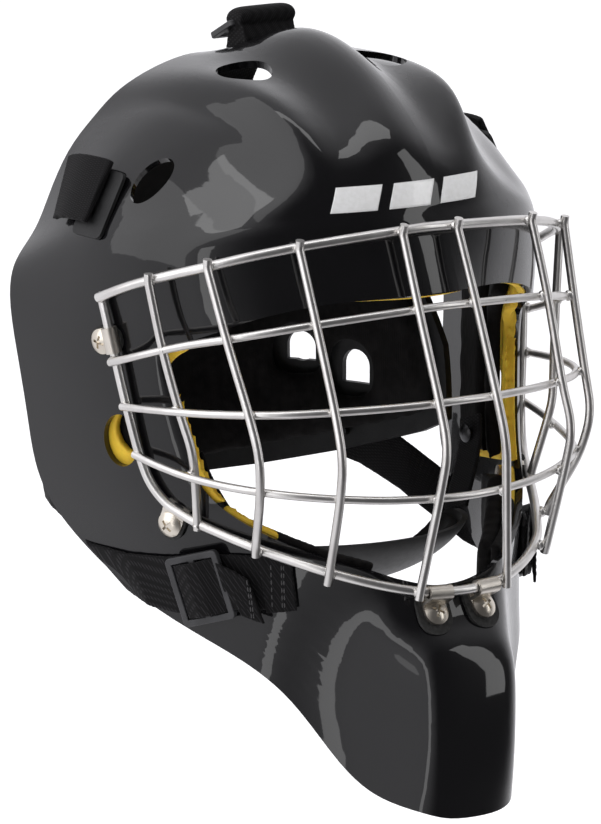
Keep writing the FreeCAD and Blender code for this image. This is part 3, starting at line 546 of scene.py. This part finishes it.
def stitches(name, piece, lines, towards, body):
    """Rows of thread on a piece; each line runs between two points and is dropped onto the piece."""
    shape = bmesh.new()
    shape.from_mesh(piece.data)
    surface = BVHTree.FromBMesh(shape)
    shape.free()
    shape = bmesh.new()
    towards = Vector(towards).normalized()
    for start, end in lines:
        run = (Vector(end) - Vector(start)).length
        count = max(2, int(run / (STITCH_LENGTH + STITCH_GAP)))
        marks = []
        for i in range(2 * count):
            share = (i // 2 + (i % 2) * STITCH_LENGTH / (STITCH_LENGTH + STITCH_GAP)) / count
            origin = Vector(start).lerp(Vector(end), share) - towards * 0.06
            place, normal, index, distance = surface.ray_cast(origin, towards, 0.12)
            marks.append((place, normal))
        for (first, up), (second, other_up) in zip(marks[::2], marks[1::2]):
            if first is None or second is None or (second - first).length > 2 * STITCH_LENGTH:
                continue
            along = (second - first).normalized()
            across = along.cross(up).normalized()
            frame_matrix = Matrix((along * STITCH_LENGTH * 0.55, across * THREAD_RADIUS, up * THREAD_RADIUS))
            turned = frame_matrix.transposed().to_4x4()
            turned.translation = (first + second) / 2
            bmesh.ops.create_icosphere(shape, subdivisions=2, radius=1, matrix=turned)
    seam = from_bmesh(name, shape, THREAD)
    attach(seam, body)


def line_in_box(box, first, second):
    """A line across a node's box; its two ends are given as shares of the box's depth and height."""
    low, high = Vector(box[0]), Vector(box[1])
    x = (low.x + high.x) / 2
    return [Vector((x, low.y + (high.y - low.y) * along, low.z + (high.z - low.z) * up))
            for along, up in (first, second)]


PATCH_ROWS = (((0.16, 0.12), (0.2, 0.88)), ((0.26, 0.12), (0.3, 0.88)), ((0.72, 0.12), (0.78, 0.88)))
TAIL_ROWS = (((0.1, 0.1), (0.28, 0.8)), ((0.18, 0.1), (0.36, 0.8)))

for side, sign in (("left", 1), ("right", -1)):
    for part, soft, node, rows, body in (
            ("patch", "jaw_patch_soft_", "jaw_patch_", PATCH_ROWS, "shell"),
            ("tail", "jaw_tail_soft_", "jaw_strap_tail_", TAIL_ROWS, "buckle_" + side)):
        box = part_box(node + side)
        lines = [line_in_box(box, *ends) for ends in rows]
        stitches(part + "_stitches_" + side, bpy.data.objects[soft + side], lines, (-sign, 0.9, 0), body)


# ---------------------------------------------------------------- forehead decal
BAR_WIDTH = 21 * MM
BAR_HEIGHT = 10.5 * MM
BAR_PITCH = 26.5 * MM
BAR_SLANT = 0.36
BARS_UP = 0.793                         # share of the mask's height


def decal():
    """Three slanted white bars printed across the forehead."""
    surface = tree_of(NODES["shell"])
    low, high = CAD_BOX
    middle = low[2] + (high[2] - low[2]) * BARS_UP
    columns, rows = 24, 10
    shape = bmesh.new()
    for number in (-1, 0, 1):
        grid = []
        for row in range(rows + 1):
            up = (row / rows - 0.5) * BAR_HEIGHT
            line = []
            for column in range(columns + 1):
                x = number * BAR_PITCH + (column / columns - 0.5) * BAR_WIDTH + up * BAR_SLANT
                start = Vector((x, -0.3, middle + up))
                place, normal, index, distance = surface.ray_cast(start, Vector((0, 1, 0)))
                line.append(shape.verts.new(place + normal * 0.1 * MM))
            grid.append(line)
        for below, above in zip(grid, grid[1:]):
            for i in range(columns):
                shape.faces.new((below[i], below[i + 1], above[i + 1], above[i]))
    print_piece = from_bmesh("forehead_bars", shape, INK)
    depth = print_piece.modifiers.new("depth", "SOLIDIFY")
    depth.thickness = 0.15 * MM
    freeze(print_piece)
    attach(print_piece, "shell")


decal()


# ---------------------------------------------------------------- weld beads
WELD_REACH = 1.6 * MM                   # wires this near to each other are welded
WELD_SAMPLES = 0.8 * MM                 # spacing of the points tried along a wire
WIRE_END = 90 * MM                      # a cross wire's ends lie further out than this
BEAD_RADIUS = 2.15 * MM


def islands(node):
    """The separate solids of a node, each as a list of points spread along its edges.

    Both lists follow the mesh's own order, so that every run makes the same beads.
    """
    shape = bmesh.new()
    shape.from_mesh(node.data)
    bmesh.ops.remove_doubles(shape, verts=shape.verts, dist=0.00001)
    shape.verts.index_update()
    shape.edges.index_update()
    seen = set()
    found = []
    for seed in shape.verts:
        if seed.index in seen:
            continue
        seen.add(seed.index)
        queue = [seed]
        edges = {}
        while queue:
            for edge in queue.pop().link_edges:
                edges[edge.index] = edge
                for vertex in edge.verts:
                    if vertex.index not in seen:
                        seen.add(vertex.index)
                        queue.append(vertex)
        points = []
        for index in sorted(edges):
            start, end = (vertex.co.copy() for vertex in edges[index].verts)
            count = max(1, int((end - start).length / WELD_SAMPLES))
            points += [start.lerp(end, i / count) for i in range(count)]
        found.append(points)
    shape.free()
    return found


def touching(points, surface, reach):
    """The middle of where the points come within reach of the surface, or None."""
    near = []
    for point in points:
        place, normal, index, distance = surface.find_nearest(point, reach * 3)
        if place is not None:
            near.append((distance, (point + place) / 2))
    if not near:
        return None
    nearest = min(distance for distance, place in near)
    if nearest > reach:
        return None
    close = [place for distance, place in near if distance < nearest + 0.3 * MM]
    return sum(close, Vector()) / len(close)


def weld_beads():
    """A small uneven bead where each upright or wire end meets another wire."""
    shape = bmesh.new()
    wires = ["cage_top_wire", "cage_upper_wire", "cage_middle_wire", "cage_lower_wire", "cage_rim_wire"]
    surfaces = {name: tree_of(NODES[name]) for name in wires}
    places = []
    for points in islands(NODES["cage_uprights"]):
        for name in wires:
            place = touching(points, surfaces[name], WELD_REACH)
            if place is not None:
                places.append(place)
    for name in wires[:4]:
        points = islands(NODES[name])[0]
        for sign in (-1, 1):
            half = [point for point in points if point.x * sign > WIRE_END]
            place = touching(half, surfaces["cage_rim_wire"], WELD_REACH)
            if place is not None:
                places.append(place)
    for number, place in enumerate(places):
        wobble = 1 + 0.12 * math.sin(number * 2.4)
        ball = bmesh.ops.create_icosphere(shape, subdivisions=3, radius=BEAD_RADIUS * wobble)
        for vertex in ball["verts"]:
            dent = 1 + 0.08 * math.sin(vertex.co.x * 3300 + number) * math.cos(vertex.co.z * 2900)
            vertex.co = place + vertex.co * dent
    piece = from_bmesh("weld_beads", shape, WIRE)
    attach(piece, "shell")


weld_beads()


# ---------------------------------------------------------------- camera, floor and light
VIEW_AZIMUTH = math.radians(-35)
VIEW_ELEVATION = math.radians(11.13)
VIEW_DISTANCE = 3.672
VIEW_TARGET = Vector((0, -0.0161, -0.0321))
LENS = 373.8
OPEN_SIDE = (10, 5)                     # azimuth and elevation of the studio's dark side, in degrees
SENSOR_WIDTH = 36
FLOOR_BELOW = 0.12                      # the mask is held in the air this far above the floor
FLOOR_RADIUS = 9


def direction(azimuth, elevation):
    """From the mask towards a place at this azimuth and elevation, in radians."""
    flat = math.cos(elevation)
    return Vector((math.sin(azimuth) * flat, -math.cos(azimuth) * flat, math.sin(elevation)))


def add_camera():
    data = bpy.data.cameras.new("camera")
    data.lens = LENS
    data.sensor_width = SENSOR_WIDTH
    data.clip_end = 50
    camera = bpy.data.objects.new("camera", data)
    bpy.context.scene.collection.objects.link(camera)
    back = direction(VIEW_AZIMUTH, VIEW_ELEVATION)
    camera.location = VIEW_TARGET + back * VIEW_DISTANCE
    camera.rotation_euler = (-back).to_track_quat("-Z", "Y").to_euler()
    bpy.context.scene.camera = camera


def add_floor():
    shape = bmesh.new()
    bmesh.ops.create_circle(shape, cap_ends=True, segments=96, radius=FLOOR_RADIUS)
    material, tree, shader, coords = new_material("floor_pale", (0.93, 0.93, 0.93), 0.9)
    tint(tree, shader, noise(tree, coords, 3), (0.92, 0.92, 0.92), (0.94, 0.94, 0.94))
    shader.inputs["Emission Color"].default_value = (1, 1, 1, 1)
    shader.inputs["Emission Strength"].default_value = 0.5
    floor = from_bmesh("floor", shape, material)
    floor.visible_glossy = False
    floor.location.z = CAD_BOX[0][2] - FLOOR_BELOW


def add_area(name, azimuth, elevation, distance, size, power):
    """A soft rectangular light, aimed at the mask; angles are in degrees."""
    data = bpy.data.lights.new(name, "AREA")
    data.shape = "RECTANGLE"
    data.size, data.size_y = size
    data.energy = power
    light = bpy.data.objects.new(name, data)
    bpy.context.scene.collection.objects.link(light)
    towards = direction(math.radians(azimuth), math.radians(elevation))
    light.location = towards * distance
    light.rotation_euler = towards.to_track_quat("Z", "Y").to_euler()


def add_world():
    """A white studio all round, open and dark in front of the mask."""
    world = bpy.data.worlds.new("studio")
    bpy.context.scene.world = world
    world.use_nodes = True
    tree = world.node_tree
    background = tree.nodes["Background"]
    background.inputs["Color"].default_value = (0.97, 0.965, 1, 1)
    towards = tree.nodes.new("ShaderNodeTexCoord").outputs["Generated"]
    ahead = tree.nodes.new("ShaderNodeVectorMath")
    ahead.operation = "DOT_PRODUCT"
    ahead.inputs[1].default_value = direction(*(math.radians(angle) for angle in OPEN_SIDE))
    fade = tree.nodes.new("ShaderNodeMapRange")
    fade.interpolation_type = "SMOOTHSTEP"
    fade.inputs["From Min"].default_value = 0.1
    fade.inputs["From Max"].default_value = 0.75
    fade.inputs["To Min"].default_value = 0.85
    fade.inputs["To Max"].default_value = 0.08
    tree.links.new(towards, ahead.inputs[0])
    tree.links.new(ahead.outputs["Value"], fade.inputs["Value"])
    tree.links.new(fade.outputs["Result"], background.inputs["Strength"])


add_camera()
add_floor()
add_world()
add_area("key", -95, 30, 1.6, (1.6, 2.0), 9)
add_area("top", -20, 75, 1.5, (1.6, 0.25), 3)
add_area("fill", 40, 15, 1.8, (0.35, 1.8), 4)
add_area("front", -60, -5, 1.9, (0.2, 1.8), 2)
bpy.context.scene.view_settings.view_transform = "Standard"
